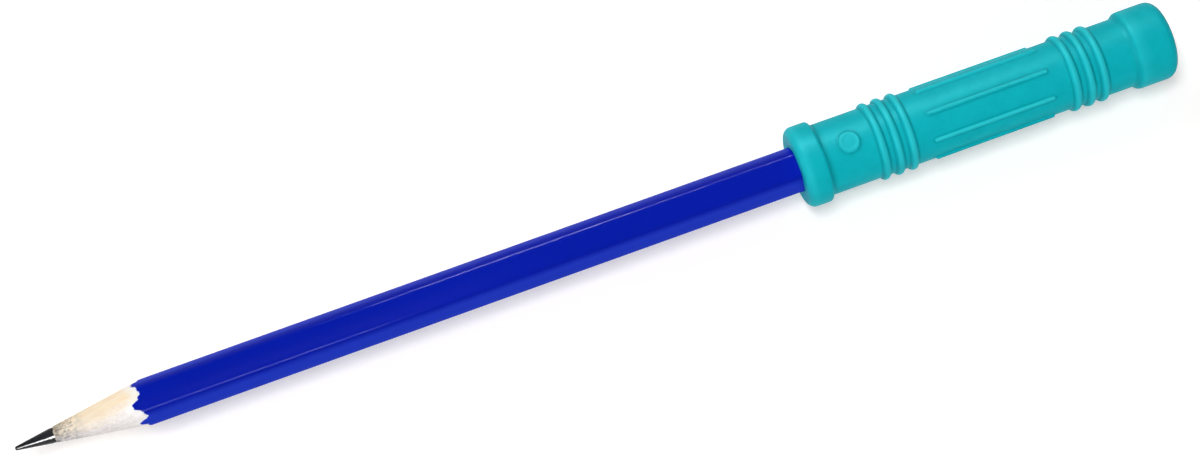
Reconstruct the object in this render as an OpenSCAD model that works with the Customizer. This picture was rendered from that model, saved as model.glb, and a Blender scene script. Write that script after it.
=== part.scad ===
// Hexagonal wooden pencil with a soft chew topper pushed onto its blunt end.
// It lies along X, writing point at -X, and rests on the topper's collar at Z = 0 with the nub on top.

/* [Pencil] */
// Length from the writing point to the blunt end
pencil_len = 175; // [130:1:190]
// Width across the flats, over the lacquer
across_flats = 7.5; // [6.6:0.1:8]
// Radius of the six long edges, over the lacquer
edge_r = 1; // [0.3:0.05:1.4]
// Thickness of the lacquer
lacquer_t = 0.12; // [0.06:0.01:0.2]
// Diameter of the lead
lead_d = 2.7; // [2:0.1:3.2]
// Glue film between the lead and its grooves
glue_t = 0.02; // [0.01:0.01:0.06]
// Full angle of the sharpened cone
point_angle = 17.8; // [14:0.1:26]
// Width of the worn writing point
point_d = 0.7; // [0.3:0.05:1]
// Turn of the flats about the axis, away from the nub
pencil_turn = 2; // [0:1:59]

/* [Socket] */
// Depth that the pencil is pushed in
seat_depth = 31; // [20:0.5:40]
// Space between the blunt end and the socket's floor
seat_gap = 0.3; // [0.1:0.1:2]
// Clearance between the socket's stretched wall and the lacquer
grip_gap = 0.05; // [0.02:0.01:0.1]

/* [Topper body] */
// Length from the mouth to the end face
topper_len = 70.6; // [64:0.2:90]
// Body diameter at the mouth
body_d = 13.1; // [12:0.05:15]
// Body diameter at the far end, under the cap
tail_d = 12.8; // [11.5:0.05:15]

/* [Collar] */
// Length of the collar, with its back slope
collar_len = 5; // [4:0.1:6]
// How far the collar stands out from the body
collar_h = 0.9; // [0.6:0.05:1.5]
// Rounding of the collar's front edge
collar_front_r = 1.5; // [0.5:0.1:2]
// Rounding of the collar's back edge
collar_back_r = 0.7; // [0.4:0.05:1]
// Fillet between the collar's back slope and the neck
collar_foot_r = 0.45; // [0.2:0.05:0.8]

/* [Nub] */
// Distance from the mouth to the nub's centre
nub_pos = 9.45; // [8:0.05:11]
// Diameter of the nub
nub_d = 3.85; // [2.5:0.05:4.5]
// How far the nub stands out from the neck
nub_h = 0.42; // [0.25:0.01:0.8]
// Rounding of the nub's rim
nub_edge_r = 0.3; // [0.1:0.05:0.5]
// Depth of the shallow dish in the nub's top
nub_dish = 0.1; // [0.04:0.02:0.2]

/* [Ring ribs] */
// Rings in each set
ring_count = 3; // [1:1:4]
// Distance from one ring to the next
ring_pitch = 2.6; // [2.3:0.05:3.2]
// Width of a ring at its foot
ring_w = 1.3; // [1:0.05:1.9]
// How far a ring stands out from the body
ring_h = 0.64; // [0.4:0.02:1]
// Fillet at a ring's foot
ring_foot_r = 0.16; // [0.1:0.02:0.4]
// Smooth neck from the collar to the first ring's crest
neck_len = 9.7; // [9:0.1:12]
// Smooth tail from the last ring's crest to the cap's shoulder
tail_len = 5.65; // [4:0.05:8]

/* [Grip ribs] */
// Long ribs round the grip
rib_count = 8; // [4:1:12]
// Width of a long rib
rib_w = 0.7; // [0.5:0.05:1.4]
// How far a long rib stands out from the body
rib_h = 0.45; // [0.3:0.05:1]
// Length of the slope at each end of a rib
rib_run_out = 0.5; // [0.3:0.1:2]
// Distance from a rib's end to the nearest ring's crest
rib_margin = 4.05; // [2.5:0.05:6]

/* [End cap] */
// Length of the cap, from the top of its shoulder to the end face
cap_len = 6.7; // [4:0.1:10]
// How far the cap stands out from the tail
cap_h = 0.8; // [0.4:0.05:1.5]
// Length of the sloped shoulder
shoulder_len = 1.9; // [1:0.1:3]
// Rounding of the end face's rim
rim_r = 1.8; // [0.5:0.1:3]

/* [Hidden] */
$fn = 96;

// Straight steps in each quarter of a rounded outline
arc_steps = 6;
// Overshoot of a cutting solid past the face that it opens
cut_over = 1;

// Places along the axis, from the mouth at 0 towards the end face
shoulder_from = topper_len - cap_len - shoulder_len;
rings_front = collar_len + neck_len;
rings_back = shoulder_from - tail_len - (ring_count - 1) * ring_pitch;
rib_from = rings_front + (ring_count - 1) * ring_pitch + rib_margin;
rib_to = rings_back - rib_margin;
socket_depth = seat_depth + seat_gap;
point_z = seat_depth - pencil_len;

// Radius of the tapered body at a distance from the mouth
function body_r(z) = (body_d + (tail_d - body_d) * z / shoulder_from) / 2;

// Place of the assembly in its own frame
exposed_len = pencil_len - seat_depth;
overall_len = exposed_len + topper_len;
mouth_x = exposed_len - overall_len / 2;
axis_z = body_r(collar_len) + collar_h;

// Sections of the pencil
wood_flats = across_flats - 2 * lacquer_t;
wood_edge_r = edge_r - lacquer_t;
groove_r = lead_d / 2 + glue_t;
point_slope = tan(point_angle / 2);

// Back slope of the collar: a round arc that runs into a hollow one
collar_back = max(collar_back_r, 0.6 * collar_h);
collar_foot = max(collar_foot_r, 0.4 * collar_h);
collar_turn = acos(1 - collar_h / (collar_back + collar_foot));
collar_run = (collar_back + collar_foot) * sin(collar_turn);

// Roundings that the walls limit
collar_front = min(collar_front_r, collar_len - collar_run);
rim = min(rim_r, cap_len);

// Points of an arc about c, in degrees
function arc(c, r, from, to) =
    let (steps = max(2, ceil(arc_steps * abs(to - from) / 90)))
    [for (i = [0:steps]) c + r * [cos(from + (to - from) * i / steps), sin(from + (to - from) * i / steps)]];

// Outline of a hexagon with rounded corners, one flat facing +X
function hexagon(flats, r) =
    let (reach = (flats / 2 - r) / cos(30))
    [for (k = [0:5]) each arc(reach * [cos(60 * k + 30), sin(60 * k + 30)], r, 60 * k, 60 * k + 60)];

// One ring rib with its foot fillets, as radius and distance from the mouth
function ring_outline(z) =
    let (foot = body_r(z))
    let (bead = (ring_w * ring_w / 4 + ring_h * ring_h) / (2 * ring_h))
    let (heart = foot + ring_h - bead)
    let (lift = foot + ring_foot_r - heart)
    let (half = sqrt(pow(bead + ring_foot_r, 2) - lift * lift))
    let (turn = acos(lift / (bead + ring_foot_r)))
    concat(
        arc([foot + ring_foot_r, z - half], ring_foot_r, 180, 180 - turn),
        arc([heart, z], bead, -turn, turn),
        arc([foot + ring_foot_r, z + half], ring_foot_r, 180 + turn, 180)
    );

function ring_set(from) = [for (i = [0:ring_count - 1]) each ring_outline(from + i * ring_pitch)];

// Shoulder of the cap: a hollow arc that runs into a round one
function shoulder_outline() =
    let (foot = body_r(shoulder_from))
    let (turn = 2 * atan(cap_h / shoulder_len))
    let (r = shoulder_len / sin(turn) / 2)
    concat(
        arc([foot + r, shoulder_from], r, 180, 180 - turn),
        arc([foot + cap_h - r, shoulder_from + shoulder_len], r, -turn, 0)
    );

function collar_outline() =
    let (neck = body_r(collar_len))
    let (collar = neck + collar_h)
    concat(
        arc([collar - collar_front, collar_front], collar_front, -90, 0),
        arc([collar - collar_back, collar_len - collar_run], collar_back, 0, collar_turn),
        arc([neck + collar_foot, collar_len], collar_foot, 180 + collar_turn, 180)
    );

function cap_end_outline() =
    arc([body_r(shoulder_from) + cap_h - rim, topper_len - rim], rim, 0, 90);

// Lays a shape that is built along Z down along X, with its +X side on top
module lie_down() {
    translate([mouth_x, 0, axis_z])
        rotate([0, 90, 0])
            rotate([0, 0, 180])
                children();
}

// Turned outside of the topper
module turned_body() {
    rotate_extrude()
        polygon(concat(
            [[0, 0]],
            collar_outline(),
            ring_set(rings_front),
            ring_set(rings_back),
            shoulder_outline(),
            cap_end_outline(),
            [[0, topper_len]]
        ));
}

// Round-topped bars, cut to the ribs' height and end slopes by a turned sleeve
module grip_ribs() {
    crest = body_r(rib_from) + rib_h;
    core = body_r(rib_to) - rib_w;
    intersection() {
        rotate_extrude()
            polygon([
                [core, rib_from],
                [body_r(rib_from), rib_from],
                [body_r(rib_from) + rib_h, rib_from + rib_run_out],
                [body_r(rib_to) + rib_h, rib_to - rib_run_out],
                [body_r(rib_to), rib_to],
                [core, rib_to]
            ]);
        for (i = [0:rib_count - 1])
            rotate([0, 0, 360 * i / rib_count])
                translate([0, 0, rib_from - cut_over])
                    linear_extrude(rib_to - rib_from + 2 * cut_over)
                        polygon(concat(
                            [[core - cut_over, -rib_w / 2]],
                            arc([crest - rib_w / 2, 0], rib_w / 2, -90, 90),
                            [[core - cut_over, rib_w / 2]]
                        ));
    }
}

// Round nub with a soft rim and a shallow dish, rooted in the neck
module nub() {
    root = body_r(nub_pos) - nub_d / 3;
    top = body_r(nub_pos) + nub_h;
    dish_r = nub_d / 2 - nub_edge_r;
    bowl_r = (dish_r * dish_r + nub_dish * nub_dish) / (2 * nub_dish);
    translate([0, 0, nub_pos])
        rotate([0, 90, 0])
            rotate_extrude()
                polygon(concat(
                    [[0, root], [nub_d / 2, root]],
                    arc([dish_r, top - nub_edge_r], nub_edge_r, 0, 90),
                    arc([0, top - nub_dish + bowl_r], bowl_r, asin(dish_r / bowl_r) - 90, -90)
                ));
}

// Blind socket, in the shape that the pencil stretches it to
module socket() {
    translate([0, 0, -cut_over])
        linear_extrude(socket_depth + cut_over)
            rotate(pencil_turn)
                polygon(hexagon(across_flats + 2 * grip_gap, edge_r + grip_gap));
}

// Everything inside the cut of the sharpener
module sharpener_cone() {
    translate([0, 0, point_z])
        cylinder(h = pencil_len, r1 = point_d / 2, r2 = point_d / 2 + pencil_len * point_slope);
}

// A length of pencil section, turned and sharpened
module sharpened_bar() {
    intersection() {
        translate([0, 0, point_z])
            linear_extrude(pencil_len)
                rotate(pencil_turn)
                    children();
        sharpener_cone();
    }
}

// Half of the casing on one side of the glue plane, with its groove for the lead
module slat_section(side) {
    difference() {
        intersection() {
            polygon(hexagon(wood_flats, wood_edge_r));
            translate([side > 0 ? 0 : -across_flats, -across_flats])
                square([across_flats, 2 * across_flats]);
        }
        circle(r = groove_r);
    }
}

module topper() {
    color("#1fb4be")
        lie_down()
            difference() {
                union() {
                    turned_body();
                    grip_ribs();
                    nub();
                }
                socket();
            }
}

module upper_slat() {
    color("#efd8b2")
        lie_down()
            sharpened_bar()
                slat_section(1);
}

module lower_slat() {
    color("#e8cda3")
        lie_down()
            sharpened_bar()
                slat_section(-1);
}

module graphite_core() {
    color("#3b3b40")
        lie_down()
            intersection() {
                translate([0, 0, point_z])
                    cylinder(h = pencil_len, r = lead_d / 2);
                sharpener_cone();
            }
}

module lacquer_coat() {
    color("#1519a8")
        lie_down()
            sharpened_bar()
                difference() {
                    polygon(hexagon(across_flats, edge_r));
                    polygon(hexagon(wood_flats, wood_edge_r));
                }
}

topper();
upper_slat();
lower_slat();
graphite_core();
lacquer_coat();
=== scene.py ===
import bpy
import bmesh
import math
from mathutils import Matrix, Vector, noise


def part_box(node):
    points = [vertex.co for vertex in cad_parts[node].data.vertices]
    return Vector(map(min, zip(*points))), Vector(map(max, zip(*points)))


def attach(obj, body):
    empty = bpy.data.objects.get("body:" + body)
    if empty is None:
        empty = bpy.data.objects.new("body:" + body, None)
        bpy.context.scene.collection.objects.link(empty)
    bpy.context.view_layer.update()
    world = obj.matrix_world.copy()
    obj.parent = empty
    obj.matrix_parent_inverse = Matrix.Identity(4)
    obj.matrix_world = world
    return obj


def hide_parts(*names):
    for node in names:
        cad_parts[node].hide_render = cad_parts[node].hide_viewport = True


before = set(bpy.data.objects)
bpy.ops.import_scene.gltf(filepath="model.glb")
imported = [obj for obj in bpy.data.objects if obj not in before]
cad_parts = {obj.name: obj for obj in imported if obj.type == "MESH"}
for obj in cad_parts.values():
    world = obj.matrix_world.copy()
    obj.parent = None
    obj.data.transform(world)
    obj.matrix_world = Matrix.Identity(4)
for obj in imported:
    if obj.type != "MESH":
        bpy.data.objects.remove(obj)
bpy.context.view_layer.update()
scene = bpy.context.scene
scene.view_settings.view_transform = "Standard"

# The pencil lies along X, its point at -X; settings are in millimetres and degrees
mm = 0.001
hair = 1e-6                # less than any length that counts
weldReach = 0.0005         # points nearer than this become one
fullTurn = 2 * math.pi
topperLow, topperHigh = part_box("topper")
coreLow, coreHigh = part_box("graphite_core")
axisZ = (topperLow.z + topperHigh.z) / 2
mouthX = topperLow.x
pointX = coreLow.x
print("frame loaded:", sorted(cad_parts))


# Camera

cameraSettings = {
    "place": (-33.73, -91.22, 417.49),
    "azimuth": -20.2,
    "elevation": 76.57,
    "lens": 72.0,
    "sensor": 36.0,
    "clip": (0.01, 20),    # in metres
}


# Turns a camera or a lamp to look along a direction
def lookAlong(thing, direction):
    thing.rotation_mode = "QUATERNION"
    thing.rotation_quaternion = direction.to_track_quat("-Z", "Y")


def makeCamera():
    s = cameraSettings
    lens = bpy.data.cameras.new("camera")
    lens.lens = s["lens"]
    lens.sensor_width = s["sensor"]
    lens.sensor_fit = "HORIZONTAL"
    lens.clip_start, lens.clip_end = s["clip"]
    camera = bpy.data.objects.new("camera", lens)
    scene.collection.objects.link(camera)
    azimuth, elevation = math.radians(s["azimuth"]), math.radians(s["elevation"])
    back = Vector((
        math.sin(azimuth) * math.cos(elevation),
        -math.cos(azimuth) * math.cos(elevation),
        math.sin(elevation),
    ))
    camera.location = Vector(s["place"]) * mm
    lookAlong(camera, -back)
    scene.camera = camera
    print("camera set")


makeCamera()


# Shared shaping tools

def smoothStep(low, high, value):
    share = min(1.0, max(0.0, (value - low) / (high - low)))
    return share * share * (3 - 2 * share)


# A soft band that rises from a to b and falls from c to d
def band(a, b, c, d, value):
    return smoothStep(a, b, value) * (1 - smoothStep(c, d, value))


def evenSteps(start, end, count):
    return [start + (end - start) * i / count for i in range(count + 1)]


# Points of an arc in the (along, radius) plane, angles in degrees from the along direction
def arcPoints(centre, radius, start, end, steps):
    turns = [math.radians(a) for a in evenSteps(start, end, steps)]
    return [(centre[0] + radius * math.cos(a), centre[1] + radius * math.sin(a)) for a in turns]


# Turn about the axis: 0 on top, growing towards the camera's side
def turnOf(place):
    return math.atan2(-place.y, place.z - axisZ)


def placeAt(startX, along, radius, turn):
    return Vector((
        startX + along * mm,
        -radius * mm * math.sin(turn),
        axisZ + radius * mm * math.cos(turn),
    ))


# Noise round the pencil, from -depth to depth
def ragged(turn, depth, scale, seed):
    return depth * noise.noise(Vector((math.cos(turn) * scale, math.sin(turn) * scale, seed)))


# A chain of (along, radius) points turned about the axis; each ring keeps its row number
def turnProfile(startX, profile, steps, closed=False, fromTurn=0.0, sweep=fullTurn):
    bm = bmesh.new()
    row = bm.verts.layers.int.new("row")
    chain = []
    for index, (along, radius) in enumerate(profile):
        vert = bm.verts.new(placeAt(startX, along, radius, fromTurn))
        vert[row] = index
        chain.append(vert)
    ends = chain[1:] + chain[:1] if closed else chain[1:]
    edges = [bm.edges.new(pair) for pair in zip(chain, ends)]
    whole = abs(sweep - fullTurn) < hair
    bmesh.ops.spin(
        bm, geom=chain + edges, cent=(0, 0, axisZ), axis=(1, 0, 0),
        angle=sweep, steps=steps, use_merge=whole,
    )
    if not whole:
        bmesh.ops.holes_fill(bm, edges=[e for e in bm.edges if e.is_boundary], sides=0)
    return bm, row


def closeAndTurnOut(bm):
    bmesh.ops.remove_doubles(bm, verts=bm.verts, dist=weldReach * mm)
    bmesh.ops.recalc_face_normals(bm, faces=bm.faces)


# Makes the finished object: smooth faces, hard edges only where the shape has them
def finishPiece(bm, name, material, body, node, hardAngle=35.0):
    for face in bm.faces:
        face.smooth = True
    limit = math.radians(hardAngle)
    for edge in bm.edges:
        if len(edge.link_faces) == 2 and edge.calc_face_angle(0) > limit:
            edge.smooth = False
    mesh = bpy.data.meshes.new(name)
    bm.to_mesh(mesh)
    bm.free()
    mesh.materials.append(material)
    piece = bpy.data.objects.new(name, mesh)
    scene.collection.objects.link(piece)
    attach(piece, body)
    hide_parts(node)
    print(name, "made:", len(mesh.polygons), "faces")


# The pencil's section and point, which its pieces and the topper's socket share

pencilSettings = {
    "length": (coreHigh.x - coreLow.x) / mm,
    "acrossFlats": 7.5,
    "cornerRadius": 0.7,   # of the edges, before the facets are crowned
    "facetTurn": 2.0,      # how far the top facet leans to the camera's side
    "flatShare": 0.45,     # share of each facet's points that lie between its edges
    "crown": 0.1,          # how far a facet rises from its edges to its middle
    "coat": 0.12,
    "leadRadius": 1.35,
    "boreRadius": 1.37,
    "pointRadius": 0.35,
    "pointAngle": 17.8,
}
pointSlope = math.tan(math.radians(pencilSettings["pointAngle"] / 2))


# Where a turn falls on the rounded hexagon, as (radius, turn); depth goes in from the lacquer
def hexagonAt(turn, depth):
    s = pencilSettings
    sector, crown, split = math.radians(60), s["crown"], s["flatShare"]
    local = (turn - math.radians(s["facetTurn"]) + sector / 2) % sector - sector / 2
    share = abs(local) / (sector / 2)
    slope = math.tan(sector / 2)
    half = (s["acrossFlats"] / 2 - s["cornerRadius"]) * slope
    edge = (s["acrossFlats"] - crown) / 2 - depth
    tilt = math.atan(2 * crown / half)
    if share <= split:
        side = half * share / split
        out = edge + crown * (1 - (side / half) ** 2)
    else:
        corner = (slope * edge - half) / (slope * math.cos(tilt) - math.sin(tilt))
        bend = tilt + (share - split) / (1 - split) * (sector / 2 - tilt)
        out = edge + corner * (math.cos(bend) - math.cos(tilt))
        side = half + corner * (math.sin(bend) - math.sin(tilt))
    side = math.copysign(side, local)
    return math.hypot(out, side), turn - local + math.atan2(side, out)


# How far from the point the sharpener's cone reaches a radius
def coneAlong(radius):
    return (radius - pencilSettings["pointRadius"]) / pointSlope


# Shader helpers; a noise's scale is per metre

noiseSpan = (0.3, 0.7)     # where nearly all of a noise's values lie


def setInputs(tree, made, inputs):
    for key, value in inputs.items():
        if isinstance(value, bpy.types.NodeSocket):
            tree.links.new(value, made.inputs[key])
        else:
            made.inputs[key].default_value = value


def addNode(tree, kind, inputs=None, **settings):
    made = tree.nodes.new(kind)
    for key, value in settings.items():
        setattr(made, key, value)
    setInputs(tree, made, inputs or {})
    return made


def newMaterial(name):
    material = bpy.data.materials.new(name)
    material.use_nodes = True
    tree = material.node_tree
    surface = tree.nodes["Principled BSDF"]
    place = addNode(tree, "ShaderNodeTexCoord").outputs["Object"]
    return material, tree, surface, place


def noiseOver(tree, place, scale, detail=2.0, stretch=(1, 1, 1), roughness=0.5):
    mapping = addNode(tree, "ShaderNodeMapping", {"Vector": place, "Scale": stretch})
    texture = addNode(tree, "ShaderNodeTexNoise", {
        "Vector": mapping.outputs[0], "Scale": scale, "Detail": detail, "Roughness": roughness,
    })
    return texture.outputs["Fac"]


def rampOver(tree, value, stops):
    ramp = addNode(tree, "ShaderNodeValToRGB", {"Fac": value})
    elements = ramp.color_ramp.elements
    while len(elements) < len(stops):
        elements.new(0.5)
    for element, (position, colour) in zip(elements, stops):
        element.position = position
        element.color = (*colour, 1)
    return ramp.outputs["Color"]


# A noise as a slow change between two colours
def twoColours(tree, value, colours):
    return rampOver(tree, value, list(zip(noiseSpan, colours)))


def mapRange(tree, value, low, high, newLow, newHigh):
    return addNode(tree, "ShaderNodeMapRange", {
        "Value": value, "From Min": low, "From Max": high, "To Min": newLow, "To Max": newHigh,
    }).outputs["Result"]


def mathOf(tree, operation, first, second, clamp=False):
    made = addNode(tree, "ShaderNodeMath", {0: first, 1: second}, operation=operation, use_clamp=clamp)
    return made.outputs[0]


# A colour mix has its factor at input 0, its colours at 6 and 7 and its result at output 2
def mixColour(tree, factor, first, second, blend="MIX"):
    made = addNode(tree, "ShaderNodeMix", data_type="RGBA", blend_type=blend)
    first, second = (c if isinstance(c, bpy.types.NodeSocket) else (*c, 1) for c in (first, second))
    setInputs(tree, made, {0: factor, 6: first, 7: second})
    return made.outputs[2]


# A number that each of the mesh's points carries
def readLayer(tree, name):
    return addNode(tree, "ShaderNodeAttribute", attribute_name=name).outputs["Fac"]


# Bumps laid over one another, each as (height, strength, depth)
def bumpsOver(tree, *bumps):
    normal = None
    for height, strength, depth in bumps:
        inputs = {"Height": height, "Strength": strength, "Distance": depth * mm}
        if normal is not None:
            inputs["Normal"] = normal
        normal = addNode(tree, "ShaderNodeBump", inputs).outputs["Normal"]
    return normal


# Topper: one moulding, turned and then raised into ribs and nub

topperSettings = {
    "length": (topperHigh.x - topperLow.x) / mm,
    "mouthDiameter": 13.1,
    "tailDiameter": 12.8,
    "shoulderFrom": 62.0,
    "shoulderLength": 1.9,
    "capHeight": 0.8,
    "rimRadius": 1.8,
    "collarLength": 5.0,
    "collarHeight": 0.9,
    "collarFront": 1.5,
    "collarBack": 0.7,
    "collarFoot": 0.45,
    "frontRings": (14.75, 17.4, 20.03),
    "backRings": (51.22, 53.88, 56.5),
    "ringWidth": 1.55,
    "ringHeight": 0.64,
    "ringFoot": 0.17,
    "ribCount": 8,
    "ribFrom": 23.95,
    "ribTo": 47.1,
    "ribHeight": 0.45,
    "ribTop": 0.12,        # half of the rounded crest
    "ribFoot": 0.45,       # half of the width at the foot
    "ribEnd": 0.6,
    "ribReach": 1.0,       # how far past a rib's ends its relief is worked out
    # how strong each rib's painted crest highlight is, from the top one round
    "ribCrestLight": (1.0, 1.0, -0.5, 0.7, 0.8, 0.6, 0.7, 1.0),
    "nubAt": 9.45,
    "nubHeight": 0.42,
    "nubTop": 1.7,
    "nubFoot": 2.02,
    "nubBlend": 0.2,       # the mesh runs in circles this far past the nub's foot
    "nubPatch": 2.9,       # and is the lathe's own grid from here
    "nubDish": 0.13,
    "nubRim": (0.95, 1.5),  # where the dish rises to the rim
    "socketDepth": 31.3,
    "socketGap": 0.05,
    "lip": 0.3,
    "steps": 280,
    "gather": 0.45,        # how far the lathe's steps crowd towards the ribs
    "hardAngle": 50.0,
    # rows of the mesh, from the socket's end to the mouth and back along the outside
    "socketEnd": (0, 0.6, 1),     # shares of the socket's radius
    "socketRows": (24, 16, 8, 3, 1),
    "collarRows": (2.2, 3.1),
    "neckRows": (0.2, 0.5, 0.9),  # behind the collar
    "nubRows": 50,
    "ringRows": (1.22, 1.06),     # on the body, before and behind a ring
    "ribEdge": (0.5, 1.7),        # close rows reach this far out from a rib's end, and in
    "ribEdgeRows": 16,
    "ribInset": 4.0,
    "ribRows": 5,
    "tailRows": (58.2, 61.2, 3),  # first, last and steps between
    "capRows": (65.0, 68.2, 4),
    "endRows": (4.2, 2.8, 1.4, 0),
    "roundSteps": {
        "lip": 5, "collarFront": 12, "collarBack": 9, "collarFoot": 7,
        "ringFoot": 4, "ring": 14, "shoulder": 6, "rim": 12,
    },
    # painted highlights on crests and painted shade in hollows: strength, and where the band rises and
    # falls
    "paintedShading": {
        "ribCrest": (1.0, -1.0, 0.0, 0.16, 0.38),
        "ribHollow": (0.8, 0.34, 0.46, 0.5, 0.85),
        "ringCrest": (1.0, -1.0, 0.0, 0.25, 0.65),
        "ringHollow": (1.0, 0.64, 0.78, 0.88, 1.2),
        "mouthCrest": (0.42, -0.4, -0.2, 1.2, 2.2),
        "collarHollow": (1.1, -0.5, -0.15, 0.05, 0.7),
        "shoulderHollow": (0.7, 0.0, 0.5, 0.9, 1.4),
        "shoulderCrest": (0.5, 1.2, 1.8, 2.3, 3.5),
        "nubFace": (0.55, -1.0, 0.0, 1.6, 1.95),
        "nubRim": (0.4, 1.0, 1.35, 1.7, 1.95),
        "nubHollow": (0.9, 1.85, 2.05, 2.15, 2.6),
    },
    "finish": {
        "mottle": {"scale": 420, "detail": 4, "roughness": 0.65},
        "grain": {"scale": 5200},
        "teal": ((0.0025, 0.42, 0.485), (0.005, 0.465, 0.535)),
        "crest": (1.0, 0.6, (0.03, 0.60, 0.665)),      # painted shading where most, share and colour: a paler teal for painted highlights on crests, a darker teal for painted shade in hollows
        "hollow": (-1.0, 0.42, (0.001, 0.20, 0.235)),
        "roughness": (0.42, 0.54),
        "gloss": 0.045,
        "glossTint": (0.12, 0.95, 1.0, 1),
        "grainBump": (0.22, 0.04),
        "mottleBump": (0.15, 0.3),
    },
}


def bodyRadius(along):
    s = topperSettings
    taper = s["tailDiameter"] - s["mouthDiameter"]
    return (s["mouthDiameter"] + taper * along / s["shoulderFrom"]) / 2


def onBody(places):
    return [(along, bodyRadius(along)) for along in places]


# A half-round bead with a fillet at each foot
def ringPoints(along):
    s, steps = topperSettings, topperSettings["roundSteps"]
    foot, small = bodyRadius(along), s["ringFoot"]
    bead = (s["ringWidth"] ** 2 / 4 + s["ringHeight"] ** 2) / (2 * s["ringHeight"])
    heart = foot + s["ringHeight"] - bead
    lift = foot + small - heart
    half = math.sqrt((bead + small) ** 2 - lift ** 2)
    turn = math.degrees(math.acos(lift / (bead + small)))
    return (
        [(along - gap, foot) for gap in s["ringRows"]]
        + arcPoints((along - half, foot + small), small, 270, 270 + turn, steps["ringFoot"])
        + arcPoints((along, heart), bead, 90 + turn, 90 - turn, steps["ring"])[1:-1]
        + arcPoints((along + half, foot + small), small, 270 - turn, 270, steps["ringFoot"])
        + [(along + gap, foot) for gap in reversed(s["ringRows"])]
    )


# The collar from the socket's lip to the neck: a large front round, then a back that falls in an S
def collarPoints(wall):
    s, steps = topperSettings, topperSettings["roundSteps"]
    lip, front, back, foot = s["lip"], s["collarFront"], s["collarBack"], s["collarFoot"]
    end = s["collarLength"]
    neck = bodyRadius(end)
    collar = neck + s["collarHeight"]
    fall = math.acos(1 - s["collarHeight"] / (back + foot))
    run, fall = (back + foot) * math.sin(fall), math.degrees(fall)
    points = arcPoints((lip, wall + lip), lip, 270, 180, steps["lip"])
    points += arcPoints((front, collar - front), front, 180, 90, steps["collarFront"])
    points += [(along, collar) for along in s["collarRows"]]
    points += arcPoints((end - run, collar - back), back, 90, 90 - fall, steps["collarBack"])
    points += arcPoints((end, neck + foot), foot, 270 - fall, 270, steps["collarFoot"])[1:]
    return points + onBody(end + gap for gap in s["neckRows"])


# The cap from its shoulder, two equal arcs, to the middle of its end face
def capPoints():
    s, steps = topperSettings, topperSettings["roundSteps"]
    start, long, rim = s["shoulderFrom"], s["shoulderLength"], s["rimRadius"]
    cap = bodyRadius(start) + s["capHeight"]
    swing = 2 * math.degrees(math.atan(s["capHeight"] / long))
    sweep = long / math.sin(math.radians(swing)) / 2
    inner, outer = (start, cap - s["capHeight"] + sweep), (start + long, cap - sweep)
    points = arcPoints(inner, sweep, 270, 270 + swing, steps["shoulder"])
    points += arcPoints(outer, sweep, 90 + swing, 90, steps["shoulder"])[1:]
    points += [(along, cap) for along in evenSteps(*s["capRows"])]
    points += arcPoints((s["length"] - rim, cap - rim), rim, 90, 0, steps["rim"])
    return points + [(s["length"], radius) for radius in s["endRows"]]


def topperProfile(wall):
    s = topperSettings
    nub, patch = s["nubAt"], s["nubPatch"]
    (outward, inward), inset = s["ribEdge"], s["ribInset"]
    points = [(s["socketDepth"], wall * share) for share in s["socketEnd"]]
    points += [(along, wall) for along in s["socketRows"]]
    points += collarPoints(wall)
    points += onBody(evenSteps(nub - patch, nub + patch, s["nubRows"]))
    for along in s["frontRings"]:
        points += ringPoints(along)
    points += onBody(evenSteps(s["ribFrom"] - outward, s["ribFrom"] + inward, s["ribEdgeRows"]))
    points += onBody(evenSteps(s["ribFrom"] + inset, s["ribTo"] - inset, s["ribRows"]))
    points += onBody(evenSteps(s["ribTo"] - inward, s["ribTo"] + outward, s["ribEdgeRows"]))
    for along in s["backRings"]:
        points += ringPoints(along)
    points += onBody(evenSteps(*s["tailRows"]))
    return points + capPoints()


def paintedShadingAt(name, apart):
    strength, *edges = topperSettings["paintedShading"][name]
    return strength * band(*edges, apart)


# Rib's height and its painted shading: 1 for a painted highlight on a crest, below 0 for painted shade
# in a hollow
def ribShape(turn, along, radius):
    s = topperSettings
    sector = fullTurn / s["ribCount"]
    local = (turn + sector / 2) % sector - sector / 2
    beyond = max(s["ribFrom"] + s["ribEnd"] - along, along - s["ribTo"] + s["ribEnd"], 0)
    apart = math.hypot(local * radius, beyond * s["ribFoot"] / s["ribEnd"])
    rise = s["ribHeight"] * (1 - smoothStep(s["ribTop"], s["ribFoot"], apart))
    crestLight = s["ribCrestLight"][round((turn - local) / sector) % s["ribCount"]]
    return rise, crestLight * paintedShadingAt("ribCrest", apart) - paintedShadingAt("ribHollow", apart)


# Painted highlights and shade of the turned outline: the collar, the rings and the cap's shoulder
def turnedPaintedShading(along):
    s = topperSettings
    fromRing = min(abs(along - ring) for ring in s["frontRings"] + s["backRings"])
    fromCollar, fromShoulder = along - s["collarLength"], along - s["shoulderFrom"]
    crest = paintedShadingAt("ringCrest", fromRing) + paintedShadingAt("mouthCrest", along)
    crest += paintedShadingAt("shoulderCrest", fromShoulder)
    hollow = paintedShadingAt("ringHollow", fromRing) + paintedShadingAt("collarHollow", fromCollar)
    hollow += paintedShadingAt("shoulderHollow", fromShoulder)
    return crest - hollow


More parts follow.
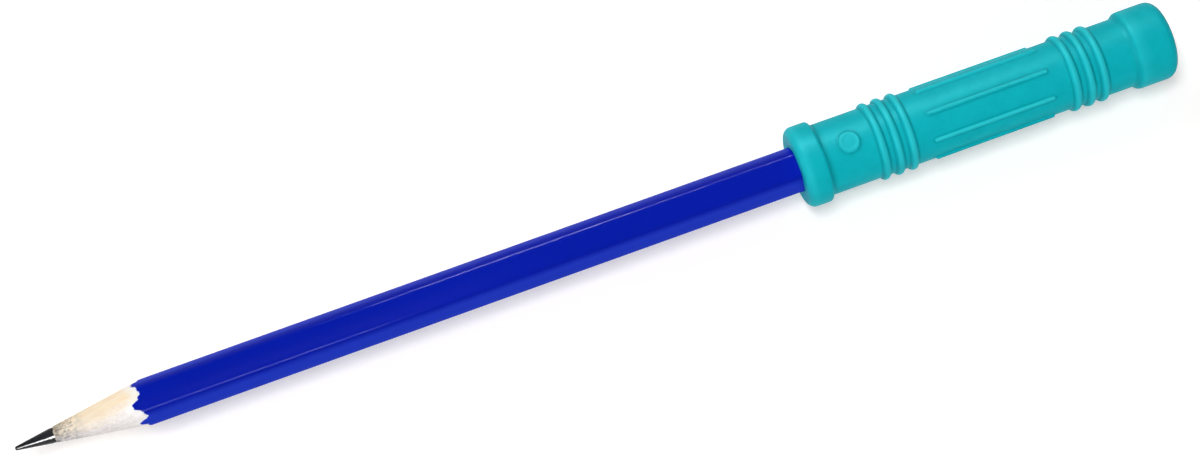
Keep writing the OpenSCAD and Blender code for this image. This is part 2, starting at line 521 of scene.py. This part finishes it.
# Draws the lathe's grid into circles about the nub, and gives the nub's height and its painted
# highlights and shade there
def nubShape(turn, along, radius):
    s = topperSettings
    side, ahead = turn * radius, along - s["nubAt"]
    reach = max(abs(side), abs(ahead))
    if reach > s["nubPatch"]:
        return turn, along, 0, 0
    if reach > hair:
        circle = 1 - smoothStep(s["nubFoot"] + s["nubBlend"], s["nubPatch"], reach)
        pull = 1 + circle * (reach / math.hypot(side, ahead) - 1)
        side, ahead = side * pull, ahead * pull
    apart = math.hypot(side, ahead)
    rise = s["nubHeight"] * (1 - smoothStep(s["nubTop"], s["nubFoot"], apart))
    dish = s["nubDish"] * (1 - smoothStep(*s["nubRim"], apart))
    paintedShading = paintedShadingAt("nubFace", apart) + paintedShadingAt("nubRim", apart) - paintedShadingAt("nubHollow", apart)
    return side / radius, s["nubAt"] + ahead, rise - dish, paintedShading


def topperMaterial():
    f = topperSettings["finish"]
    material, tree, surface, place = newMaterial("soft_teal_elastomer")
    mottle, grain = (noiseOver(tree, place, **f[key]) for key in ("mottle", "grain"))
    colour = twoColours(tree, mottle, f["teal"])
    # crests get a paler painted highlight, hollows a deeper painted shade
    paintedShading = readLayer(tree, "paintedShading")
    for most, share, shade in (f["crest"], f["hollow"]):
        colour = mixColour(tree, mapRange(tree, paintedShading, 0.0, most, 0.0, share), colour, shade)
    setInputs(tree, surface, {
        "Base Color": colour,
        "Roughness": mapRange(tree, grain, *noiseSpan, *f["roughness"]),
        "Specular IOR Level": f["gloss"],
        "Specular Tint": f["glossTint"],
        "Normal": bumpsOver(tree, (grain, *f["grainBump"]), (mottle, *f["mottleBump"])),
    })
    return material


def makeTopper():
    s = topperSettings
    wall = pencilSettings["acrossFlats"] / 2 + s["socketGap"]
    profile = topperProfile(wall)
    bm, row = turnProfile(mouthX, profile, s["steps"])
    # the layer holds painted highlights on crests and painted shade in hollows
    paintedShading = bm.verts.layers.float.new("paintedShading")
    for vert in bm.verts:
        along, radius = profile[vert[row]]
        turn = turnOf(vert.co)
        if radius < hair:
            continue
        inside = radius <= wall + s["lip"] + hair and along < s["socketDepth"] + hair
        if inside and radius >= wall - hair:
            radius, turn = hexagonAt(turn, wall - radius - s["socketGap"])
        elif not inside:
            turn -= s["gather"] / s["ribCount"] * math.sin(s["ribCount"] * turn)
            vert[paintedShading] = turnedPaintedShading(along)
            if s["ribFrom"] - s["ribReach"] < along < s["ribTo"] + s["ribReach"]:
                rise, vert[paintedShading] = ribShape(turn, along, radius)
                radius += rise
            elif abs(along - s["nubAt"]) <= s["nubPatch"] + hair:
                turn, along, rise, vert[paintedShading] = nubShape(turn, along, radius)
                radius = bodyRadius(along) + rise
        vert.co = placeAt(mouthX, along, radius, turn)
    closeAndTurnOut(bm)
    finishPiece(
        bm, "topper_moulding", topperMaterial(), "topper", "topper", s["hardAngle"],
    )


makeTopper()


# Lacquer: a thin hexagonal skin, cut back to ragged scallops by the sharpener

lacquerSettings = {
    "steps": 288,
    "cutBack": -0.4,       # moves the whole edge back, or towards the point below 0
    "offCentre": (0.25, 85.0),  # how far one side of the paint reaches on, and the turn of that side
    "scallop": 0.77,       # depth of the scallops against a clean cut
    "lean": (11.0, 25.0),  # how far the scallops sit off the corners, and the turn where most
    "feather": 0.6,
    "chip": (0.8, 4.6, 13.4),           # depth, scale and seed
    "splinter": (0.3, 15.0, 2.4),
    "flake": (0.35, 34, (17.5, 7.5)),   # depth, number round the pencil and seeds
    "flakeWaver": (0.6, 3.0, 2.2),
    # rows of the mesh
    "behindEdge": (0.0, 0.3, 0.8, 2.0, 5.0),
    "edgeDepths": (0.25, 0.5, 0.75, 1.0),  # shares of the coat
    "edgeStart": 22,       # where the edge's rows stand until they are set
    "rowsAlong": (40, 70, 100, 130, 160),
    # turn from the top and how much lighter blue is painted there, a painted light on the side facets
    "facetLightStops": (
        (-118, 0.4), (-88, 0.9), (-64, 0.7), (-52, 0.35), (-42, 0.0), (36, 0.0),
        (46, 0.6), (54, 1.0), (86, 1.0), (100, 0.5), (152, 0.3), (212, 0.5),
    ),
    "finish": {
        "drift": {"scale": 60, "stretch": (0.25, 1, 1)},
        "ripple": {"scale": 900, "stretch": (0.05, 1, 1)},
        "peel": {"scale": 1600, "detail": 1},
        "blue": ((0.0022, 0.0115, 0.37), (0.0030, 0.0135, 0.415)),
        "litBlue": (0.0145, 0.0395, 0.535),
        "primer": (0.86, 0.87, 0.88),
        "primerFrom": (0.42, 0.6),     # shares of the coat's depth
        "roughness": (0.10, 0.17),
        "primerRoughness": 0.5,
        "gloss": 0.009,
        "rippleBump": (0.05, 0.06),
        "peelBump": (0.06, 0.04),
    },
}


# How much of the lighter blue is painted at a turn: painted light on the side facets
def paintedFacetLight(turn):
    stops = lacquerSettings["facetLightStops"]
    degrees = (math.degrees(turn) - stops[0][0]) % 360 + stops[0][0]
    around = stops + ((stops[0][0] + 360, stops[0][1]),)
    for (low, first), (high, second) in zip(around, around[1:]):
        if degrees <= high:
            return first + (second - first) * smoothStep(low, high, degrees)


# Where the paint ends at a turn; the coat is cut on a slope, so its depth counts
def paintEdge(turn, depth):
    s = lacquerSettings
    most, mostAt = (math.radians(a) for a in s["lean"])
    shift, side = s["offCentre"]
    deep, count, seeds = s["flake"]
    tongue = coneAlong(pencilSettings["acrossFlats"] / 2)
    notch = coneAlong(hexagonAt(turn - most * math.cos(turn - mostAt), 0)[0]) - tongue
    edge = tongue + (s["cutBack"] - shift * math.cos(turn - math.radians(side)))
    edge += notch * s["scallop"]
    edge += max(0.0, ragged(turn, *s["chip"]))
    edge += abs(ragged(turn, *s["splinter"]))
    flakeAt = (turn / fullTurn + 0.5) * count + ragged(turn, *s["flakeWaver"])
    edge += deep * noise.cell(Vector((flakeAt, *seeds)))
    return edge - depth * pencilSettings["coat"] / pointSlope * s["feather"]


def lacquerMaterial():
    f = lacquerSettings["finish"]
    material, tree, surface, place = newMaterial("blue_lacquer")
    drift, ripple, peel = (noiseOver(tree, place, **f[key]) for key in ("drift", "ripple", "peel"))
    layer = readLayer(tree, "layer")
    # the side facets are painted a lighter blue, a painted light
    blue = mixColour(tree, readLayer(tree, "facetLight"), twoColours(tree, drift, f["blue"]), f["litBlue"])
    primer = mapRange(tree, layer, *f["primerFrom"], 0.0, 1.0)
    gloss = mapRange(tree, peel, *noiseSpan, *f["roughness"])
    dull = mathOf(tree, "MULTIPLY", layer, f["primerRoughness"])
    setInputs(tree, surface, {
        "Base Color": mixColour(tree, primer, blue, f["primer"]),
        "Roughness": mathOf(tree, "ADD", gloss, dull),
        "Specular IOR Level": f["gloss"],
        "Normal": bumpsOver(tree, (ripple, *f["rippleBump"]), (peel, *f["peelBump"])),
    })
    return material


def makeLacquer():
    s = lacquerSettings
    coat, flat = pencilSettings["coat"], pencilSettings["acrossFlats"] / 2
    rowsAlong = (*s["rowsAlong"], pencilSettings["length"])
    # (kind, along or distance behind the edge, depth in the coat)
    rows = [("body", along, 0.0) for along in reversed(rowsAlong)]
    rows += [("edge", behind, 0.0) for behind in reversed(s["behindEdge"])]
    rows += [("edge", 0.0, depth) for depth in s["edgeDepths"]]
    rows += [("edge", behind, 1.0) for behind in s["behindEdge"][1:]]
    rows += [("body", along, 1.0) for along in rowsAlong]
    profile = []
    for kind, along, depth in rows:
        profile.append((s["edgeStart"] + along if kind == "edge" else along, flat - depth * coat))
    bm, row = turnProfile(pointX, profile, s["steps"], closed=True)
    layer = bm.verts.layers.float.new("layer")
    facetLight = bm.verts.layers.float.new("facetLight")
    for vert in bm.verts:
        kind, along, depth = rows[vert[row]]
        radius, turn = hexagonAt(turnOf(vert.co), depth * coat)
        if kind == "edge":
            along += paintEdge(turn, depth)
        vert[layer], vert[facetLight] = depth, paintedFacetLight(turn)
        vert.co = placeAt(pointX, along, radius, turn)
    closeAndTurnOut(bm)
    finishPiece(bm, "lacquer_skin", lacquerMaterial(), "pencil", "lacquer_coat")


makeLacquer()


# Casing: two grooved slats of light wood, glued round the lead and sharpened together

casingSettings = {
    "steps": 108,
    "coneRows": 40,
    "rowsAlong": (26, 40, 70, 100, 130, 160),
    "coneStart": (7, 15, 0.05),  # where the cone's rows stand until they are set: from, length and step
    "frontAt": 7.2,
    "frontWaver": (0.22, 2.6, 5.1),  # depth, scale and seed
    "fibre": (0.022, 30, 0.12),      # depth, scale and change along the cone
    "fibreFade": 6,        # how steeply the fibres die out at the cone's end
    "primed": (2.6, 0.3),  # primer on the wood begins and is full this far before the paint's edge
    "edgeDepth": 0.5,      # share of the coat at which that edge is taken
    "upperTint": (1.0, 1.0, 1.0),
    "lowerTint": (0.98, 0.965, 0.94),
    "finish": {
        "fibre": {"scale": 2600, "detail": 3, "stretch": (0.10, 1, 1)},
        "growth": {"scale": 700, "stretch": (0.05, 1, 1)},
        "speck": {"scale": 2300, "detail": 3, "stretch": (0.6, 1, 1), "roughness": 0.6},
        "blotch": {"scale": 1700, "stretch": (0.7, 1, 1), "roughness": 0.55},
        "golden": (
            (0.30, (0.89, 0.69, 0.46)), (0.5, (0.925, 0.76, 0.54)), (0.72, (0.94, 0.81, 0.63)),
        ),
        "pale": (
            (0.30, (0.74, 0.69, 0.67)), (0.48, (0.87, 0.815, 0.785)), (0.66, (0.94, 0.905, 0.89)),
        ),
        "sheenFrom": (0.8, -2.0),   # across the pencil, where the painted sheen side begins and is full
        "sheenWaver": 4.0,
        "primer": (0.95, 0.95, 0.945),
        "primerShare": 0.75,
        # lead dust: where it is thickest and where it ends, from the point, and how thick
        "near": (7.6, 13.0, 1.0),
        "smear": (7.0, 9.8, 0.65),
        "film": (7.6, 18.5, 0.24),
        "dustBlotch": (0.40, 0.56),
        "dustShare": 0.8,
        "goldenDirt": (0.36, 0.315, 0.215),
        "paleDirt": (0.40, 0.39, 0.42),
        "spotSpeck": (0.53, 0.60),
        "spotShare": 0.85,
        "spot": (0.16, 0.125, 0.105),
        "roughness": (0.62, 0.82),
        "gloss": 0.12,
        "fibreBump": (0.35, 0.08),
        "speckBump": (0.25, 0.06),
    },
}


def woodMaterial(name, tint):
    f = casingSettings["finish"]
    material, tree, surface, place = newMaterial(name)
    split = addNode(tree, "ShaderNodeSeparateXYZ", {"Vector": place})
    fibre, growth, speck, blotch = (
        noiseOver(tree, place, **f[key]) for key in ("fibre", "growth", "speck", "blotch")
    )
    # the camera's side of the cone is painted paler, a painted sheen, and mottled with grey specks
    waver = mathOf(tree, "MULTIPLY", mathOf(tree, "SUBTRACT", growth, 0.5), f["sheenWaver"] * mm)
    side = mathOf(tree, "ADD", split.outputs["Y"], waver)
    sheenSide = mapRange(tree, side, *(y * mm for y in f["sheenFrom"]), 0.0, 1.0)
    colour = mixColour(tree, sheenSide, rampOver(tree, fibre, f["golden"]), rampOver(tree, speck, f["pale"]))
    primed = mathOf(tree, "MULTIPLY", readLayer(tree, "primed"), f["primerShare"])
    colour = mixColour(tree, primed, colour, f["primer"])
    colour = mixColour(tree, 1.0, colour, tint, "MULTIPLY")
    # lead dust, thickest beside the lead
    fromPoint = mathOf(tree, "SUBTRACT", split.outputs["X"], pointX)
    near, smear, film = (
        mapRange(tree, fromPoint, start * mm, end * mm, thick, 0.0)
        for start, end, thick in (f["near"], f["smear"], f["film"])
    )
    dust = mathOf(tree, "MULTIPLY", near, mapRange(tree, blotch, *f["dustBlotch"], 0.0, 1.0))
    dust = mathOf(tree, "ADD", mathOf(tree, "ADD", dust, smear), film, clamp=True)
    dust = mathOf(tree, "MULTIPLY", dust, f["dustShare"])
    colour = mixColour(tree, dust, colour, mixColour(tree, sheenSide, f["goldenDirt"], f["paleDirt"]))
    spot = mathOf(tree, "MULTIPLY", near, mapRange(tree, speck, *f["spotSpeck"], 0.0, 1.0))
    colour = mixColour(tree, mathOf(tree, "MULTIPLY", spot, f["spotShare"]), colour, f["spot"])
    setInputs(tree, surface, {
        "Base Color": colour,
        "Roughness": mapRange(tree, fibre, *noiseSpan, *f["roughness"]),
        "Specular IOR Level": f["gloss"],
        "Normal": bumpsOver(tree, (fibre, *f["fibreBump"]), (speck, *f["speckBump"])),
    })
    return material


def makeSlat(name, node, middle, tint):
    s = casingSettings
    coat, bore = pencilSettings["coat"], pencilSettings["boreRadius"]
    flat = pencilSettings["acrossFlats"] / 2 - coat
    rowsAlong = (*s["rowsAlong"], pencilSettings["length"])
    start, long, step = s["coneStart"]
    # (kind, along or share of the cone)
    rows = [("bore", along) for along in reversed(rowsAlong)] + [("bore front", 0)]
    rows += [("cone", share) for share in evenSteps(0, 1, s["coneRows"])]
    rows += [("hexagon", along) for along in rowsAlong]
    profile = []
    for kind, value in rows:
        if kind == "cone":
            profile.append((start + long * value, bore + step + (flat - bore - step) * value))
        elif kind == "bore front":
            profile.append((start, bore))
        else:
            profile.append((value, bore if kind == "bore" else flat))
    bm, row = turnProfile(pointX, profile, s["steps"], True, math.radians(middle - 90), math.pi)
    primed = bm.verts.layers.float.new("primed")
    for vert in bm.verts:
        kind, value = rows[vert[row]]
        turn = turnOf(vert.co)
        front = s["frontAt"] + ragged(turn, *s["frontWaver"])
        if kind in ("bore", "bore front"):
            vert.co = placeAt(pointX, value if kind == "bore" else front, bore, turn)
            continue
        radius, turn = hexagonAt(turn, coat)
        along = value
        if kind == "cone":
            along = front + (coneAlong(radius) - front) * value
            deep, scale, change = s["fibre"]
            fibre = ragged(turn, deep, scale, along * change) * min(1, s["fibreFade"] * (1 - value))
            radius = pencilSettings["pointRadius"] + along * pointSlope - abs(fibre)
        edge = paintEdge(turn, s["edgeDepth"])
        vert[primed] = smoothStep(*(edge - gap for gap in s["primed"]), along)
        vert.co = placeAt(pointX, along, radius, turn)
    closeAndTurnOut(bm)
    finishPiece(bm, name, woodMaterial(name + "_wood", tint), "pencil", node)


facetTurn = pencilSettings["facetTurn"]
makeSlat("casing_upper", "upper_slat", facetTurn, casingSettings["upperTint"])
makeSlat("casing_lower", "lower_slat", facetTurn + 180, casingSettings["lowerTint"])


# Lead: sharpened and lightly worn at the tip

leadSettings = {
    "steps": 96,
    "coneRows": 18,
    "coneFrom": 0.4,
    "tipFlat": 0.24,
    "tipRows": (0, 0.5, 1),        # shares of the flat
    "tipRound": ((0.03, 0.88), (0.12, 1.03)),  # along, and share of the point's radius
    "rowsAlong": (7.6, 9, 40, 100),
    "endRows": (0.5, 0),           # shares of the lead's radius
    "waver": (0.012, 3.0, 0.05),   # depth, scale and change along the cone
    "finish": {
        "streak": {"scale": 3800, "detail": 3, "stretch": (0.12, 1, 1)},
        "scratch": {"scale": 5200, "stretch": (1, 0.25, 0.25)},
        "grey": ((0.010, 0.0105, 0.013), (0.022, 0.023, 0.027)),
        "roughness": (0.15, 0.25),
        "ior": 1.3,
        "scratchBump": (0.15, 0.03),
        "streakBump": (0.15, 0.04),
    },
}


def leadMaterial():
    f = leadSettings["finish"]
    material, tree, surface, place = newMaterial("polished_graphite")
    streak, scratch = (noiseOver(tree, place, **f[key]) for key in ("streak", "scratch"))
    setInputs(tree, surface, {
        "Base Color": twoColours(tree, streak, f["grey"]),
        "Roughness": mapRange(tree, streak, *noiseSpan, *f["roughness"]),
        "IOR": f["ior"],
        "Normal": bumpsOver(tree, (scratch, *f["scratchBump"]), (streak, *f["streakBump"])),
    })
    return material


def makeLead():
    s = leadSettings
    lead, length = pencilSettings["leadRadius"], pencilSettings["length"]
    tip, coneEnd = pencilSettings["pointRadius"], coneAlong(lead)
    deep, scale, change = s["waver"]
    coneRows = evenSteps(s["coneFrom"], coneEnd, s["coneRows"])
    profile = [(0, s["tipFlat"] * share) for share in s["tipRows"]]
    profile += [(along, tip * share) for along, share in s["tipRound"]]
    profile += [(along, tip + along * pointSlope) for along in coneRows]
    profile += [(along, lead) for along in (*s["rowsAlong"], length)]
    profile += [(length, lead * share) for share in s["endRows"]]
    bm, row = turnProfile(pointX, profile, s["steps"])
    for vert in bm.verts:
        along, radius = profile[vert[row]]
        turn = turnOf(vert.co)
        if radius > hair and along < coneEnd:
            radius -= abs(ragged(turn, deep, scale, along * change)) * radius / lead
        vert.co = placeAt(pointX, along, radius, turn)
    closeAndTurnOut(bm)
    finishPiece(bm, "lead", leadMaterial(), "pencil", "graphite_core")


makeLead()


# Floor, light and surroundings

stageSettings = {
    "floorSize": 4.0,      # in metres
    "floorDrop": 0.02,
    "floorColour": (0.80, 0.772, 0.76),
    "floorLift": 0.4,      # white that the picture adds to the floor
    "horizon": 0.9,
    "ceiling": 0.09,
    "horizonBand": (0.12, 0.3),  # from the horizon's glow to the ceiling's
}

# Soft boxes: the large ones light the part, the strips only shine in its gloss
lightSettings = {
    "topSoft": {
        "place": (-80, 8, 660), "aim": (0, 0, 0), "size": (230, 165),
        "watts": 2.32, "mirrored": False,
    },
    "backSoft": {
        "place": (-220, 460, 420), "aim": (0, 0, 0), "size": (500, 300),
        "watts": 1.42, "mirrored": False,
    },
    "frontSoft": {
        "place": (-40, -520, 330), "aim": (0, 0, 0), "size": (600, 300),
        "watts": 1.2, "mirrored": False,
    },
    "frontStrip": {
        "place": (-158, -181, 233), "aim": (-158, 0, 0), "size": (230, 115),
        "watts": 8.0, "mirrored": True,
    },
    "backStrip": {
        "place": (60, 230, 250), "aim": (60, 0, 0), "size": (230, 90),
        "watts": 10.0, "mirrored": True,
    },
    "leftStrip": {
        "place": (-5, 110, 110), "aim": (60, 0, 7), "size": (60, 60),
        "watts": 1.4, "mirrored": True,
    },
}


def makeFloor():
    s = stageSettings
    bm = bmesh.new()
    bmesh.ops.create_grid(bm, x_segments=2, y_segments=2, size=s["floorSize"] / 2)
    bmesh.ops.translate(bm, verts=bm.verts, vec=(0, 0, -s["floorDrop"] * mm))
    mesh = bpy.data.meshes.new("floor")
    bm.to_mesh(mesh)
    bm.free()
    material = bpy.data.materials.new("pale_floor")
    material.use_nodes = True
    tree = material.node_tree
    tree.nodes.clear()
    output = tree.nodes.new("ShaderNodeOutputMaterial")
    matte = addNode(tree, "ShaderNodeBsdfDiffuse", {"Color": (*s["floorColour"], 1)})
    white = addNode(tree, "ShaderNodeEmission", {"Strength": s["floorLift"]})
    both = addNode(tree, "ShaderNodeAddShader", {0: matte.outputs[0], 1: white.outputs[0]})
    path = addNode(tree, "ShaderNodeLightPath")
    seen = mathOf(tree, "MAXIMUM", path.outputs["Is Camera Ray"], path.outputs["Is Glossy Ray"])
    seen = mathOf(tree, "MAXIMUM", seen, path.outputs["Is Transmission Ray"])
    mixed = addNode(tree, "ShaderNodeMixShader", {0: seen, 1: matte.outputs[0], 2: both.outputs[0]})
    tree.links.new(mixed.outputs[0], output.inputs["Surface"])
    mesh.materials.append(material)
    floor = bpy.data.objects.new("floor", mesh)
    scene.collection.objects.link(floor)


def makeWorld():
    s = stageSettings
    world = bpy.data.worlds.new("studio")
    scene.world = world
    world.use_nodes = True
    tree = world.node_tree
    direction = addNode(tree, "ShaderNodeTexCoord").outputs["Generated"]
    height = addNode(tree, "ShaderNodeSeparateXYZ", {"Vector": direction}).outputs["Z"]
    setInputs(tree, tree.nodes["Background"], {
        "Strength": mapRange(tree, height, *s["horizonBand"], s["horizon"], s["ceiling"]),
        "Color": (1, 1, 1, 1),
    })


def makeLight(name):
    s = lightSettings[name]
    lamp = bpy.data.lights.new(name, "AREA")
    lamp.shape = "RECTANGLE"
    lamp.size, lamp.size_y = (side * mm for side in s["size"])
    lamp.energy = s["watts"]
    light = bpy.data.objects.new(name, lamp)
    light.location = Vector(s["place"]) * mm
    lookAlong(light, Vector(s["aim"]) * mm - light.location)
    light.visible_diffuse, light.visible_glossy = not s["mirrored"], s["mirrored"]
    scene.collection.objects.link(light)


makeFloor()
makeWorld()
for lightName in lightSettings:
    makeLight(lightName)
print("stage lit")
